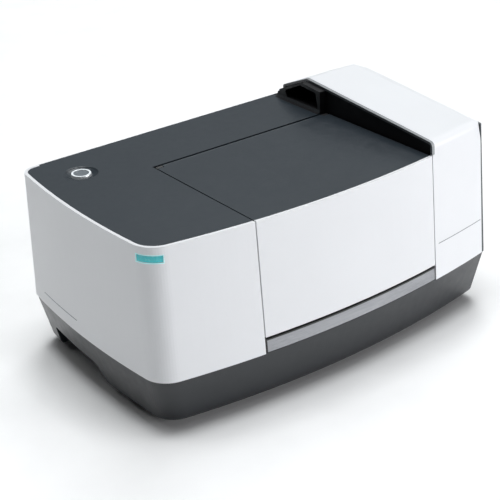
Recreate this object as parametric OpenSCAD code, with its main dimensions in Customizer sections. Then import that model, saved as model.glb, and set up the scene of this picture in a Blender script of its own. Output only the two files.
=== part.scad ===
// Compact bench infrared spectrophotometer, as an assembly of separate pieces.
// X runs to the right, Y to the back and Z up. The front faces -Y. Z = 0 is the bench top.

/* [Casing] */
// Width of the casing at the top of its base
body_w = 390; // [380:1:400]
// Depth of the casing at the top of its base
body_d = 244; // [240:1:250]
// Height of the rubber feet below the base
foot_h = 6.5; // [5:0.5:8]
// Height where the dark base meets the white covers
base_top = 56; // [54:0.5:58]
// Height of the flat dark top
deck_z = 179.5; // [178:0.5:181]
// How far the front bows out between its corners
front_bow = 20.8; // [16:0.2:24]
// How far the left side bows out between its corners
left_bow = 8.8; // [6:0.2:10]
// Radius of the front left vertical corner
corner_r = 25; // [20:1:28]
// Thickness of the moulded covers
wall = 3; // [2.5:0.1:3]
// Gap of the seams between neighbouring covers
seam = 1.2; // [1:0.1:1.4]

/* [Lid] */
// Left edge of the sample compartment lid
lid_x0 = -87.7; // [-89:0.1:-86]
// Right edge of the sample compartment lid
lid_x1 = 114.9; // [114:0.1:115.2]
// Height of the lid's lower edge
lid_z0 = 71.6; // [71:0.1:73]
// Distance of the hinge axis behind the middle of the casing
hinge_y = 42.2; // [41:0.1:43]

/* [Tower] */
// Left face of the tower's edge trim
tower_x0 = 115.6; // [115.4:0.1:116]
// Height of the roof above its front edge
roof_front_z = 192; // [191:0.5:194]
// Height of the roof's ridge, the highest point
ridge_z = 207; // [205:0.5:208]
// Distance of the ridge behind the middle of the casing
ridge_y = 74; // [70:1:78]

/* [Optics] */
// Height of the infrared beam
beam_z = 115; // [113:1:117]
// Distance of the beam in front of the middle of the casing
beam_y = -10; // [-12:1:-8]
// Middle of the beam splitter, from the middle of the casing
splitter_x = -138; // [-139:1:-137]

/* [Hidden] */
$fn = 64;

// Drafts: how far each side leans in for each millimetre of height
front_draft = 0.068;
left_draft = 0.024;
right_draft = 0.012;
base_front_taper = 0.29;
base_left_taper = 0.26;
base_right_taper = 0.04;
right_bow = 2;
back_r = 14;
right_r = 3;
far = 400;
eps = 0.01;

base_gap = 0.8;
base_wall = 3.2;
back_y = body_d / 2 - base_gap;
skin = 3;
deck_under = deck_z - skin;
rear_panel_y = back_y - 6.5;
rear_panel_t = 2.5;
left_wrap_x = -165;
lid_gap = 0.2;
hinge_r = 3;
hinge_z = deck_z - hinge_r;
pin_r = 1.5;
run_gap = 0.05;
deck_edge_y = hinge_y + hinge_r + 0.5;
post_x0 = 109;
post_y0 = 46;
tub_x0 = -84;
tub_x1 = 112;
tub_t = 3;
tub_back = 37;
tub_top = 172;
tub_floor = 66;
tower_cover_x0 = 116.1;
roof_x0 = 118.7;
panel_x0 = 189.4;
button_x = -145;
button_y = 77.5;
bench_z = 56;
bench_t = 6.6;
bench_top = bench_z + bench_t;
chassis_z = 48;
sample_x = 14;

// ---------- Outline of the casing at a given height ----------

function lean(z, draft, taper) = z > base_top ? draft * (z - base_top) : taper * (base_top - z);
function front_y(x, z) = -body_d / 2 + lean(z, front_draft, base_front_taper) + front_bow * pow(2 * x / body_w, 2);
function left_x(y, z) = -body_w / 2 + lean(z, left_draft, base_left_taper) + left_bow * pow(y / back_y, 2);
function right_x(y, z) = body_w / 2 - lean(z, right_draft, base_right_taper) - right_bow * pow(y / back_y, 2);

module soften(r) {
    offset(r = r) offset(delta = -r) children();
}

module behind_front(z) {
    polygon(concat([for (i = [-20:20]) [i * 12, front_y(i * 12, z)]], [[240, far], [-240, far]]));
}

module right_of_left(z) {
    polygon(concat([for (i = [-12:12]) [left_x(i * 12, z), i * 12]], [[far, 144], [far, -144]]));
}

module left_of_right(z) {
    polygon(concat([for (i = [-4:4]) [right_x(i * 36, z), i * 36]], [[-far, 144], [-far, -144]]));
}

module before_back() {
    translate([-far, back_y - far]) square([2 * far, far]);
}

module plan(z, t = 0) {
    offset(delta = -t) intersection() {
        soften(corner_r) intersection() {
            behind_front(z);
            right_of_left(z);
        }
        soften(back_r) intersection() {
            right_of_left(z);
            before_back();
        }
        soften(right_r) intersection() {
            behind_front(z);
            left_of_right(z);
        }
        soften(right_r) intersection() {
            left_of_right(z);
            before_back();
        }
    }
}

module slab(z, t = 0) {
    translate([0, 0, z]) linear_extrude(eps) plan(z, t);
}

// Solid casing between two heights, its sides set in by t
module loft(z0, z1, t = 0) {
    hull() {
        slab(z0, t);
        slab(z1 - eps, t);
    }
}

// Closed band of the casing's skin between two heights
module skin_band(z0, z1, t0, t1) {
    difference() {
        loft(z0, z1, t0);
        translate([0, 0, -0.5]) loft(z0, z1 + 1, t1);
    }
}

module between_x(x0, x1) {
    translate([x0, -far, -far]) cube([x1 - x0, 2 * far, 2 * far]);
}

// Flat outline in Y and Z, made solid from x0 to x1
module along_x(x0, x1) {
    translate([x0, 0, 0]) rotate([90, 0, 90]) linear_extrude(x1 - x0) children();
}

// Flat outline in X and Z, made solid from y0 to y1
module along_y(y0, y1) {
    translate([0, y1, 0]) rotate([90, 0, 0]) linear_extrude(y1 - y0) children();
}

module rod_x(x0, x1, y, z, r) {
    translate([x0, y, z]) rotate([0, 90, 0]) cylinder(h = x1 - x0, r = r);
}

module rod_y(y0, y1, x, z, r) {
    translate([x, y1, z]) rotate([90, 0, 0]) cylinder(h = y1 - y0, r = r);
}

module box(x0, x1, y0, y1, z0, z1) {
    translate([x0, y0, z0]) cube([x1 - x0, y1 - y0, z1 - z0]);
}

// ---------- Base ----------

boss_at = [[-140, -78], [140, -72], [-140, 104], [140, 104], [0, -92], [0, 104]];
foot_at = [[-148, -70], [150, -70], [-148, 100], [150, 100]];

// Hand recess in the side of the base, as an outline in Y and Z
module hand_recess_outline(t = 0) {
    offset(delta = t) soften(4) polygon([[-6, -20], [-3, foot_h], [0, foot_h + 3.5], [9, 25], [16, 26],
        [91, 28], [92, -20]]);
}

module base_tray() {
    color([0.24, 0.26, 0.28]) difference() {
        union() {
            difference() {
                hull() {
                    slab(foot_h, 3.5);
                    slab(foot_h + 1, 1.6);
                    slab(foot_h + 3.5, base_gap);
                    slab(base_top - eps, base_gap);
                }
                hull() {
                    slab(foot_h + 3, base_gap + base_wall + 1);
                    slab(base_top - eps, base_gap + base_wall);
                    translate([0, 0, 1]) slab(base_top, base_gap + base_wall);
                }
            }
            intersection() {
                hull() {
                    slab(foot_h + 1, 2);
                    slab(base_top - eps, 2);
                }
                union() {
                    along_x(-far, -157) hand_recess_outline(2.5);
                    along_x(160, far) hand_recess_outline(2.5);
                }
                box(-far, far, -far, far, foot_h + 1, base_top - 10);
            }
            for (p = boss_at) translate([p[0], p[1], foot_h + 1]) cylinder(h = chassis_z - foot_h - 1, r = 6);
        }
        along_x(-far, -159.5) hand_recess_outline();
        along_x(162.5, far) hand_recess_outline();
        for (p = boss_at) translate([p[0], p[1], 20]) cylinder(h = 40, r = 1.6);
        for (i = [-5:5]) box(i * 12 - 2, i * 12 + 2, -40, 20, foot_h - 1, foot_h + 4);
    }
}

module rubber_feet() {
    color([0.1, 0.1, 0.1]) for (p = foot_at) translate([p[0], p[1], 0]) {
        cylinder(h = 1.5, r1 = 9, r2 = 10.5);
        translate([0, 0, 1.5]) cylinder(h = foot_h - 1.5, r = 10.5);
    }
}

// ---------- Covers ----------

window_z0 = 166;
window_h = 5.8;
window_l = 22;

// Block that cuts the status light's slot out of the front left corner
module window_block(gap = 0) {
    translate([-178.6, -86.4, window_z0 + window_h / 2]) rotate([0, 0, -39.5])
        translate([0, -20, 0]) cube([window_l + 2 * gap, 40, window_h + 2 * gap], center = true);
}

module left_cover() {
    color([0.9, 0.91, 0.93]) difference() {
        skin_band(base_top, deck_z, 0, wall);
        between_x(lid_x0 - seam, far);
        box(left_wrap_x, far, rear_panel_y - 20, far, 0, far);
        window_block(0.2);
    }
}

module status_window() {
    color([0.2, 0.75, 0.78]) intersection() {
        skin_band(window_z0 - 2, window_z0 + window_h + 2, 0.3, wall + 1);
        window_block(-0.1);
    }
}

module status_board() {
    color([0.1, 0.4, 0.2]) translate([-170.6, -76.7, window_z0 + window_h / 2]) rotate([0, 0, -39.5]) {
        cube([24, 1.6, 12], center = true);
        for (i = [-1:1]) translate([i * 8, -1.8, 0]) cube([3.5, 2, 3], center = true);
    }
}

dish_r = 15.7;
dish_floor_r = 10.4;
dish_h = 2.4;
bezel_r = 9;
cap_r = 7;

module deck_plan() {
    difference() {
        union() {
            plan(deck_z, wall + 0.4);
            intersection() {
                plan(deck_z, 0.3);
                translate([left_wrap_x + 0.4, 90]) square([far, far]);
            }
        }
        translate([lid_x0 - seam, -far]) square([far, far + deck_edge_y]);
        translate([post_x0 - 0.3, 0]) square([far, far]);
    }
}

module top_cover() {
    color([0.27, 0.3, 0.33]) difference() {
        union() {
            translate([0, 0, deck_under]) linear_extrude(skin) deck_plan();
            translate([button_x, button_y, deck_under - 4]) cylinder(h = 5, r = dish_r + 2);
        }
        translate([button_x, button_y, deck_z - dish_h]) cylinder(h = dish_h, r1 = dish_floor_r, r2 = dish_r);
        translate([button_x, button_y, deck_z - dish_h]) cylinder(h = 2, r1 = dish_floor_r, r2 = dish_r);
        translate([button_x, button_y, 100]) cylinder(h = 100, r = bezel_r - 1);
    }
}

// Roof of the tower: edges rounded more on the right than in front
roof_slope = (ridge_z - roof_front_z) / (ridge_y + 110);
rear_edge_y = 112.4;
rear_edge_z = 191.2;
tower_foot_z = 169;

function roof_z(y) = y < ridge_y ? ridge_z - roof_slope * (ridge_y - y)
    : ridge_z - (ridge_z - rear_edge_z) * (y - ridge_y) / (rear_edge_y - ridge_y);

// Sphere or rod centre that stays r below the roof at y
function under_roof(y, r) = roof_z(y) - r * 1.004;

module tower_solid(t = 0) {
    side_r = 5;
    edge_r = 8;
    hull() {
        intersection() {
            union() {
                slab(base_top, t);
                slab(tower_foot_z, t);
            }
            between_x(80, far);
        }
        for (x = [100, 125, 150, 170, 181])
            translate([x, front_y(x, 186) + edge_r, under_roof(-102, edge_r)]) sphere(r = edge_r - t, $fn = 32);
        for (y = [front_y(178, 186) + 9, 40, 68])
            translate([right_x(y, 192) - side_r, y, under_roof(y, side_r + 4)]) sphere(r = side_r - t, $fn = 40);
        translate([right_x(90, 185) - side_r, rear_edge_y - side_r, under_roof(rear_edge_y - side_r, side_r + 4)])
            sphere(r = side_r - t, $fn = 40);
        rod_x(100, 178, ridge_y, under_roof(ridge_y, 4), 4 - t);
        rod_x(100, 178, rear_edge_y - 3, rear_edge_z - 3.4, 4 - t);
    }
}

module tower_cover() {
    color([0.94, 0.96, 0.97]) difference() {
        tower_solid();
        tower_solid(wall + 0.1);
        between_x(-far, tower_cover_x0);
        box(-far, roof_x0, -98, far, 0, far);
        box(-far, roof_x0, -far, far, deck_z + 0.7, far);
        box(-far, panel_x0 - 0.3, rear_panel_y - 20, far, 0, tower_foot_z - 0.6);
        box(0, far, -far, far, 0, base_top + 0.01);
        along_x(panel_x0 - 0.3, far) panel_side_outline(0.3);
    }
}

// Outline in Y and Z of the flat panel on the right side
module panel_side_outline(t = 0) {
    offset(delta = t) polygon([[-far, 0], [-far, roof_z(-100) - 6.5], [-100, roof_z(-100) - 6.5], [ridge_y - 4, ridge_z - 7],
        [rear_edge_y - 10, rear_edge_z - 5], [back_y - 8, tower_foot_z - 2], [far, tower_foot_z - 2], [far, 0]]);
}

module right_panel() {
    color([0.26, 0.29, 0.32]) difference() {
        intersection() {
            loft(base_top + 0.4, ridge_z);
            along_x(panel_x0, far) panel_side_outline();
        }
        for (i = [0:9]) translate([panel_x0 - 5, -46 + i * 10, 84]) cube([20, 4, 34]);
    }
}

rim_h = 2.7;
rim_x1 = 118.6;

// Outline of the tower seen from the left, in Y and Z, set in by t
module tower_side_outline(t = 0) {
    offset(delta = -t) soften(5) polygon([[front_y(tower_cover_x0, base_top), base_top],
        [front_y(tower_cover_x0, roof_front_z), roof_z(-108)], [ridge_y, ridge_z], [rear_edge_y, rear_edge_z],
        [back_y - 0.5, tower_foot_z], [back_y - 0.5, base_top]]);
}

// Outline of the edging in Y and Z, grown by a clearance
module rim_outline(grow = 0) {
    end_y = rear_edge_y + 0.5 + grow;
    intersection() {
        difference() {
            tower_side_outline(0.3 - grow);
            tower_side_outline(rim_h + grow);
        }
        polygon([[-far, deck_z + 1 - grow], [-90, deck_z + 1 - grow], [-90, deck_z + 6 - grow], [end_y, deck_z + 6 - grow],
            [end_y, far], [-far, far]]);
    }
}

// The grey edging that follows the roof's left edge
module rim_trim() {
    color([0.55, 0.58, 0.6]) along_x(tower_x0, rim_x1) rim_outline();
}

sill_z = deck_z + 3;

// Opening in the post behind the lid, in Y and Z
module pocket_outline() {
    soften(2) polygon([[post_y0 + 3, sill_z], [post_y0 + 6.6, 199], [ridge_y + 3, 200.7],
        [101.5, 189.2], [98, sill_z]]);
}

module tower_wall() {
    wall_x0 = 117;
    color([0.09, 0.09, 0.11]) difference() {
        union() {
            along_x(wall_x0, rim_x1) intersection() {
                tower_side_outline(rim_h + 0.2);
                translate([front_y(tower_cover_x0, deck_z) + 6, tub_top + 1]) square([far, far]);
            }
            along_x(post_x0, rim_x1) post_outline();
            along_x(wall_x0, 136) offset(delta = 1.2) pocket_outline();
            box(wall_x0, rim_x1, 112, 117.6, tower_foot_z - 0.5, tub_top + 3);
            box(post_x0, rim_x1, post_y0, back_y - 0.3, deck_under, deck_z);
            along_y(post_y0, rear_edge_y + 1.4) polygon([[post_x0 - 3.5, deck_z + 0.1], [post_x0 - 1, deck_z + 0.8],
                [post_x0, sill_z], [post_x0 + 2, sill_z], [post_x0 + 2, deck_z + 0.1]]);
        }
        along_x(post_x0 - 1, 134) pocket_outline();
        along_x(post_x0 - 1, rim_x1 + 1) rim_outline(0.2);
    }
}

// The post and the frame behind the lid, in Y and Z
module post_outline() {
    drop = rim_h + 0.35;
    soften(0.8) polygon([[post_y0, deck_under - 6], [post_y0, roof_z(post_y0) - drop], [ridge_y - 1, ridge_z - drop],
        [rear_edge_y, rear_edge_z - drop - 1], [rear_edge_y + 1.5, sill_z], [rear_edge_y + 2, deck_under - 6]]);
}

// ---------- Rear ----------

inlet_x = -60;
inlet_z = 106;
switch_x = -25;
usb_x = 20;
usb_z = 139;
fan_x = 70;
fan_z = 95;
cap_x = 156;
cap_z = 100;
purge_x = -138;
purge_z = 120;
screw_at = [[-155, 70], [-155, 165], [-20, 168], [96, 168], [110, 70], [182, 165], [182, 66]];

module fan_grille() {
    for (r = [8, 14, 20, 26]) difference() {
        rod_y(rear_panel_y - 5, back_y, fan_x, fan_z, r + 1.8);
        rod_y(rear_panel_y - 6, back_y + 1, fan_x, fan_z, r - 1.8);
        for (a = [45, 135]) translate([fan_x, back_y - 10, fan_z]) rotate([0, a, 0]) cube([80, 40, 3.4], center = true);
    }
}

module rear_panel() {
    color([0.3, 0.32, 0.35]) difference() {
        box(left_wrap_x + 0.4, panel_x0 - 0.4, rear_panel_y, rear_panel_y + rear_panel_t, base_top + 0.4, deck_under - 0.3);
        box(116.7, far, 0, far, tower_foot_z - 0.9, far);
        box(inlet_x - 14, inlet_x + 14, rear_panel_y - 1, back_y, inlet_z - 10.3, inlet_z + 10.3);
        box(switch_x - 7, switch_x + 7, rear_panel_y - 1, back_y, inlet_z - 10.3, inlet_z + 10.3);
        box(usb_x - 6.4, usb_x + 6.4, rear_panel_y - 1, back_y, usb_z - 5.9, usb_z + 5.9);
        rod_y(rear_panel_y - 1, back_y, cap_x, cap_z, 21.3);
        rod_y(rear_panel_y - 1, back_y, purge_x, purge_z, 5.1);
        fan_grille();
        for (p = screw_at) rod_y(rear_panel_y - 1, back_y, p[0], p[1], 1.6);
    }
}

module cover_screws() {
    head_y = rear_panel_y + rear_panel_t;
    color([0.35, 0.36, 0.38]) for (p = screw_at) difference() {
        union() {
            rod_y(rear_panel_y - 8, head_y, p[0], p[1], 1.5);
            rod_y(head_y, head_y + 1.8, p[0], p[1], 3);
        }
        translate([p[0], head_y + 2, p[1]]) {
            cube([3.6, 2.4, 0.9], center = true);
            cube([0.9, 2.4, 3.6], center = true);
        }
    }
}

// Inlet and switch frame: one moulded block with the socket and the rocker's well
module power_inlet() {
    face_y = rear_panel_y + rear_panel_t;
    color([0.08, 0.08, 0.09]) difference() {
        union() {
            box(inlet_x - 13.7, inlet_x + 13.7, rear_panel_y - 22, face_y, inlet_z - 10, inlet_z + 10);
            box(switch_x - 6.7, switch_x + 6.7, rear_panel_y - 16, face_y, inlet_z - 10, inlet_z + 10);
            box(inlet_x - 16, switch_x + 9, face_y, face_y + 1.8, inlet_z - 13, inlet_z + 13);
            box(inlet_x - 13, switch_x + 6, rear_panel_y - 16, rear_panel_y - 1, inlet_z - 9, inlet_z - 7);
        }
        along_y(rear_panel_y - 12, back_y) translate([inlet_x, inlet_z])
            polygon([[-11, -7.5], [-11, 4], [-7.5, 7.5], [7.5, 7.5], [11, 4], [11, -7.5]]);
        box(switch_x - 5, switch_x + 5, rear_panel_y - 10, back_y, inlet_z - 8.5, inlet_z + 8.5);
    }
    color([0.8, 0.75, 0.6]) for (p = [[-7, -1.5], [7, -1.5], [0, 2]])
        box(inlet_x + p[0] - 1, inlet_x + p[0] + 1, rear_panel_y - 13, rear_panel_y - 1, inlet_z + p[1] - 2, inlet_z + p[1] + 2);
}

rocker_y = rear_panel_y - 2;

module rocker_switch() {
    color([0.12, 0.12, 0.13]) difference() {
        union() {
            along_x(switch_x - 4.7, switch_x + 4.7) translate([rocker_y, inlet_z])
                polygon([[-4, -4], [3.2, -7.6], [4.6, -7.2], [3.4, 0], [4.6, 7.2], [3.2, 7.6], [-4, 4]]);
            rod_x(switch_x - 4.95, switch_x + 4.95, rocker_y, inlet_z, 1.5);
        }
        rod_x(switch_x + 4.4, switch_x + 5, rocker_y + 3, inlet_z + 5, 0.8);
    }
}

module data_port() {
    color([0.75, 0.76, 0.78]) difference() {
        box(usb_x - 6, usb_x + 6, rear_panel_y - 14, rear_panel_y + rear_panel_t + 0.8, usb_z - 5.5, usb_z + 5.5);
        box(usb_x - 4.6, usb_x + 4.6, rear_panel_y - 9, back_y, usb_z - 4.4, usb_z + 4.4);
    }
    color([0.9, 0.9, 0.9]) box(usb_x - 2.8, usb_x + 2.8, rear_panel_y - 9.5, rear_panel_y - 1, usb_z + 1, usb_z + 3);
}

purge_r = 3;

module purge_port() {
    color([0.75, 0.6, 0.3]) difference() {
        union() {
            rod_y(rear_panel_y - 12, rear_panel_y + rear_panel_t, purge_x, purge_z, 5);
            rod_y(rear_panel_y + rear_panel_t, rear_panel_y + rear_panel_t + 3, purge_x, purge_z, 7.5);
            along_y(rear_panel_y - 4, rear_panel_y - 0.1) translate([purge_x, purge_z]) circle(r = 8, $fn = 6);
        }
        rod_y(rear_panel_y - 11, back_y, purge_x, purge_z, purge_r);
    }
}

module fan_housing() {
    y0 = rear_panel_y - 15.5;
    y1 = rear_panel_y - 0.3;
    color([0.1, 0.1, 0.1]) {
        difference() {
            box(fan_x - 30, fan_x + 30, y0, y1, fan_z - 30, fan_z + 30);
            rod_y(y0 - 1, y1 + 1, fan_x, fan_z, 28);
            for (i = [-1, 1], k = [-1, 1]) rod_y(y0 - 1, y1 + 1, fan_x + i * 25.5, fan_z + k * 25.5, 2.1);
        }
        difference() {
            union() {
                rod_y(y0, y0 + 2, fan_x, fan_z, 11);
                for (a = [45, 135]) intersection() {
                    translate([fan_x, y0 + 1, fan_z]) rotate([0, a, 0]) cube([60, 2, 4], center = true);
                    rod_y(y0, y0 + 2, fan_x, fan_z, 29);
                }
                rod_y(y0 + 2, y0 + 10, fan_x, fan_z, 4);
            }
            rod_y(y0 - 1, y0 + 11, fan_x, fan_z, 1.05);
        }
    }
}

module fan_rotor() {
    y0 = rear_panel_y - 15.5;
    hub_r = 11.5;
    color([0.14, 0.14, 0.15]) {
        difference() {
            rod_y(y0 + 3, y0 + 13, fan_x, fan_z, hub_r);
            rod_y(y0 + 2, y0 + 11.5, fan_x, fan_z, hub_r - 1.5);
        }
        rod_y(y0 + 0.5, y0 + 12, fan_x, fan_z, 1);
        for (a = [0:51.43:359]) translate([fan_x, y0 + 8, fan_z]) rotate([0, a, 0])
            translate([hub_r - 0.6, 0, 0]) rotate([35, 0, 0]) translate([0, -0.6, -5.5]) cube([15, 1.2, 11]);
    }
}

// ---------- Strip and lid ----------

module front_strip() {
    color([0.72, 0.73, 0.74]) intersection() {
        skin_band(base_top + 0.4, lid_z0 - 2.4, 0.9, 3.3);
        box(lid_x0 + 0.1, lid_x1, -far, 0, 0, far);
    }
}

module lid_front() {
    color([0.94, 0.95, 0.96]) intersection() {
        skin_band(lid_z0, deck_z, 0, wall);
        box(lid_x0, lid_x1, -far, 0, 0, far);
    }
}

ear_w = 7;
ear_gap = 0.5;

module lid_top() {
    color([0.26, 0.29, 0.32]) difference() {
        union() {
            translate([0, 0, deck_under]) linear_extrude(skin) intersection() {
                plan(deck_z, wall + lid_gap);
                translate([lid_x0, -far]) square([lid_x1 - lid_x0, far + hinge_y - 1]);
            }
            rod_x(lid_x0, lid_x1, hinge_y, hinge_z, hinge_r);
        }
        for (x = [lid_x0 - 1, lid_x1 - ear_w - ear_gap])
            box(x, x + ear_w + ear_gap + 1, hinge_y - hinge_r - ear_gap, far, 0, far);
        rod_x(-far, far, hinge_y, hinge_z, pin_r + run_gap);
    }
}

module hinge_brackets() {
    color([0.15, 0.15, 0.17]) for (x = [lid_x0 + 0.1, lid_x1 - ear_w]) difference() {
        union() {
            rod_x(x, x + ear_w - 0.1, hinge_y, hinge_z, hinge_r);
            box(x, x + ear_w - 0.1, hinge_y - hinge_r, hinge_y + hinge_r, 160, hinge_z);
            box(x, x + ear_w - 0.1, tub_back + 0.1, hinge_y + hinge_r, 150, 162);
        }
        rod_x(x - 1, x + 20, hinge_y, hinge_z, pin_r);
        rod_y(tub_back, 60, x + 3.5, 155, 1.6);
    }
}

module hinge_pins() {
    color([0.75, 0.76, 0.78]) {
        rod_x(lid_x0 + 0.3, lid_x0 + 20, hinge_y, hinge_z, pin_r);
        rod_x(lid_x1 - 20, lid_x1 - 0.3, hinge_y, hinge_z, pin_r);
    }
}

liner_x0 = lid_x0 + 5;
liner_x1 = lid_x1 - 5;

module lid_liner() {
    color([0.2, 0.22, 0.24]) {
        translate([0, 0, deck_under - 2.4]) linear_extrude(2.3) intersection() {
            plan(deck_under, wall + 2.6);
            translate([liner_x0, -far]) square([liner_x1 - liner_x0, far + tub_back - 1]);
        }
        intersection() {
            skin_band(lid_z0 + 4, deck_under - 2, wall + 0.1, wall + 2.6);
            box(liner_x0, liner_x1, -far, 0, 0, far);
        }
        for (x = [-60, -22, 46, 88]) intersection() {
            loft(base_top, deck_under - 1, wall + 2);
            along_x(x, x + 2.5) polygon([[-120, 146], [-108, 146], [-93, deck_under - 2], [-120, deck_under - 2]]);
        }
    }
}

// ---------- Sample compartment ----------

module tub_outline() {
    intersection() {
        plan(tub_top, wall + 3.2);
        translate([tub_x0, -far]) square([tub_x1 - tub_x0, far + tub_back]);
    }
}

module sample_tub() {
    color([0.16, 0.17, 0.19]) difference() {
        union() {
            intersection() {
                loft(tub_floor - tub_t, tub_top, wall + 3.2);
                difference() {
                    box(tub_x0, tub_x1, -far, tub_back, tub_floor - tub_t, tub_top);
                    box(tub_x0 + tub_t, tub_x1 - tub_t, -far, tub_back - tub_t, tub_floor, far);
                }
            }
            intersection() {
                skin_band(tub_floor - tub_t, tub_top, wall + 3.2, wall + 6);
                union() {
                    box(tub_x0 - 10, tub_x0 + 1, -far, 0, 0, far);
                    box(tub_x1 - 1, tub_x1 + 8, -far, 0, 0, far);
                }
            }
            intersection() {
                loft(tub_top - 3, tub_top, wall + 3.2);
                union() {
                    box(tub_x0 - 10, tub_x0 + 1, -far, tub_back, 0, far);
                    box(tub_x1 - 1, tub_x1 + 4.5, -far, tub_back, 0, far);
                }
            }
        }
        rod_x(-far, far, beam_y, beam_z, 17);
        for (x = [lid_x0 + 3.6, lid_x1 - ear_w + 3.5]) rod_y(20, 60, x, 155, 1.6);
    }
}

module compartment_seal() {
    color([0.07, 0.07, 0.07]) translate([0, 0, tub_top]) linear_extrude(1.6) intersection() {
        plan(tub_top, wall + 3.4);
        difference() {
            translate([tub_x0 - 5, -far]) square([tub_x1 - tub_x0 + 8, far + tub_back - 0.5]);
            translate([tub_x0 + tub_t - 0.5, -far]) square([tub_x1 - tub_x0 - 2 * tub_t + 1, far + tub_back - tub_t + 0.5]);
        }
    }
}

plate_top = tub_floor + 6;
holder_w = 52;
holder_t = 3;
guide_h = 20;
hole_x = 90;
hole_y = 60;

module accessory_plate() {
    color([0.78, 0.79, 0.8]) difference() {
        union() {
            box(sample_x - 55, sample_x + 55, beam_y - 40, beam_y + 40, tub_floor, plate_top);
            for (s = [-1, 1]) translate([sample_x, beam_y + s * (holder_w / 2 + 2), 0])
                box(-6, 6, -5, 5, plate_top - 1, plate_top + guide_h);
        }
        for (i = [-1, 1], k = [-1, 1]) translate([sample_x + i * hole_x / 2, beam_y + k * hole_y / 2, tub_floor - 1])
            cylinder(h = 10, r = 2);
        box(sample_x - holder_t / 2 - 0.3, sample_x + holder_t / 2 + 0.3, beam_y - holder_w / 2 - 0.3,
            beam_y + holder_w / 2 + 0.3, plate_top - 2, far);
    }
}

module sample_holder() {
    color([0.62, 0.64, 0.66]) difference() {
        union() {
            box(sample_x - holder_t / 2, sample_x + holder_t / 2, beam_y - holder_w / 2, beam_y + holder_w / 2,
                plate_top - 1.8, 150);
            box(sample_x - 6, sample_x + 6, beam_y - 12, beam_y + 12, 147, 150);
            rod_x(sample_x - 5, sample_x, beam_y, beam_z, 16);
        }
        rod_x(sample_x - 20, sample_x + 20, beam_y, beam_z, 10);
        rod_x(sample_x - 6, sample_x - 2.5, beam_y, beam_z, 13);
    }
}

disc_x = [tub_x0 - 6.2, tub_x1 + 0.2];

module window_discs() {
    color([0.85, 0.92, 0.95]) for (x = disc_x) rod_x(x, x + 6, beam_y, beam_z, 19);
}

module window_rings() {
    color([0.6, 0.62, 0.64]) for (x = disc_x) difference() {
        rod_x(x, x + 6, beam_y, beam_z, 25);
        rod_x(x - 1, x + 7, beam_y, beam_z, 19.1);
    }
}

// ---------- Chassis and bench ----------

isolator_at = [[-160, -60], [-110, 90], [170, -60], [140, 50]];

module chassis_plate() {
    color([0.7, 0.71, 0.72]) difference() {
        translate([0, 0, chassis_z]) linear_extrude(2) intersection() {
            plan(chassis_z, base_gap + base_wall + 1.2);
            translate([-far, -far]) square([2 * far, 2 * far]);
        }
        for (p = boss_at) translate([p[0], p[1], 0]) cylinder(h = 100, r = 1.7);
        for (i = [0:8]) box(-70 + i * 14, -62 + i * 14, 50, 100, 0, 100);
        for (p = isolator_at) translate([p[0], p[1], 0]) cylinder(h = 100, r = 4);
    }
}

module bench_isolators() {
    color([0.12, 0.12, 0.12]) for (p = isolator_at) translate([p[0], p[1], chassis_z + 2]) {
        cylinder(h = bench_z - chassis_z - 2, r = 8);
        translate([0, 0, -2]) cylinder(h = 3, r = 3.9);
    }
}

module optical_bench() {
    color([0.66, 0.68, 0.7]) difference() {
        union() {
            box(-174, -94, -86, 104, bench_z, bench_top);
            box(-95, 117, -62, 30, bench_z, bench_top);
            box(116, 184, -84, 62, bench_z, bench_top);
        }
        for (i = [0:3]) box(-80 + i * 48, -44 + i * 48, -50, 18, bench_z - 1, bench_z + 3.5);
    }
}

hx0 = -174;
hx1 = -98;
hy0 = -86;
hy1 = 38;
housing_top = 150;

module interferometer_housing() {
    color([0.6, 0.62, 0.64]) difference() {
        box(hx0, hx1, hy0, hy1, bench_top, housing_top);
        box(hx0 + 4, hx1 - 4, hy0 + 4, hy1 - 4, bench_top + 4, far);
        rod_y(hy1 - 10, far, splitter_x, beam_z, 17);
        rod_x(hx1 - 10, 0, beam_y, beam_z, 17);
    }
}

module interferometer_cover() {
    color([0.68, 0.7, 0.72]) {
        box(hx0, hx1, hy0, hy1, housing_top, housing_top + 3);
        for (x = [hx0 + 4, hx1 - 4], y = [hy0 + 4, (hy0 + hy1) / 2, hy1 - 4])
            translate([x, y, housing_top + 3]) cylinder(h = 2, r = 3);
    }
}

module at_splitter() {
    translate([splitter_x, beam_y, beam_z]) rotate([0, 0, -45]) children();
}

module beam_splitter() {
    color([0.8, 0.85, 0.9]) at_splitter() rod_x(-3, 3, 0, 0, 20);
}

module beam_splitter_mount() {
    color([0.3, 0.31, 0.33]) at_splitter() difference() {
        union() {
            rod_x(-4.5, 4.5, 0, 0, 25);
            box(-4.5, 4.5, -12, 12, bench_top + 4 - beam_z, -20);
            box(-10, 10, -14, 14, bench_top + 4 - beam_z, bench_top + 9 - beam_z);
        }
        rod_x(-10, 10, 0, 0, 20.05);
    }
}

module fixed_mirror() {
    color([0.85, 0.86, 0.88]) rod_x(hx0 + 8, hx0 + 14, beam_y, beam_z, 15);
    color([0.35, 0.36, 0.38]) {
        box(hx0 + 4, hx0 + 8, beam_y - 17, beam_y + 17, bench_top + 4, beam_z + 17);
    }
}

slide_floor = bench_top + 4;
rod_z = 88;
rod_dx = 13;
rod_r = 2.5;
carriage_y0 = -54;
carriage_y1 = -44;

module slide_frame() {
    color([0.5, 0.52, 0.54]) difference() {
        union() {
            box(splitter_x - 20, splitter_x + 20, -81, -27, slide_floor, slide_floor + 4);
            box(splitter_x - 20, splitter_x + 20, -81, -77, slide_floor, rod_z + 6);
            box(splitter_x - 20, splitter_x + 20, -31, -27, slide_floor, rod_z + 6);
        }
        for (s = [-1, 1]) rod_y(-90, -20, splitter_x + s * rod_dx, rod_z, rod_r);
    }
}

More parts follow.
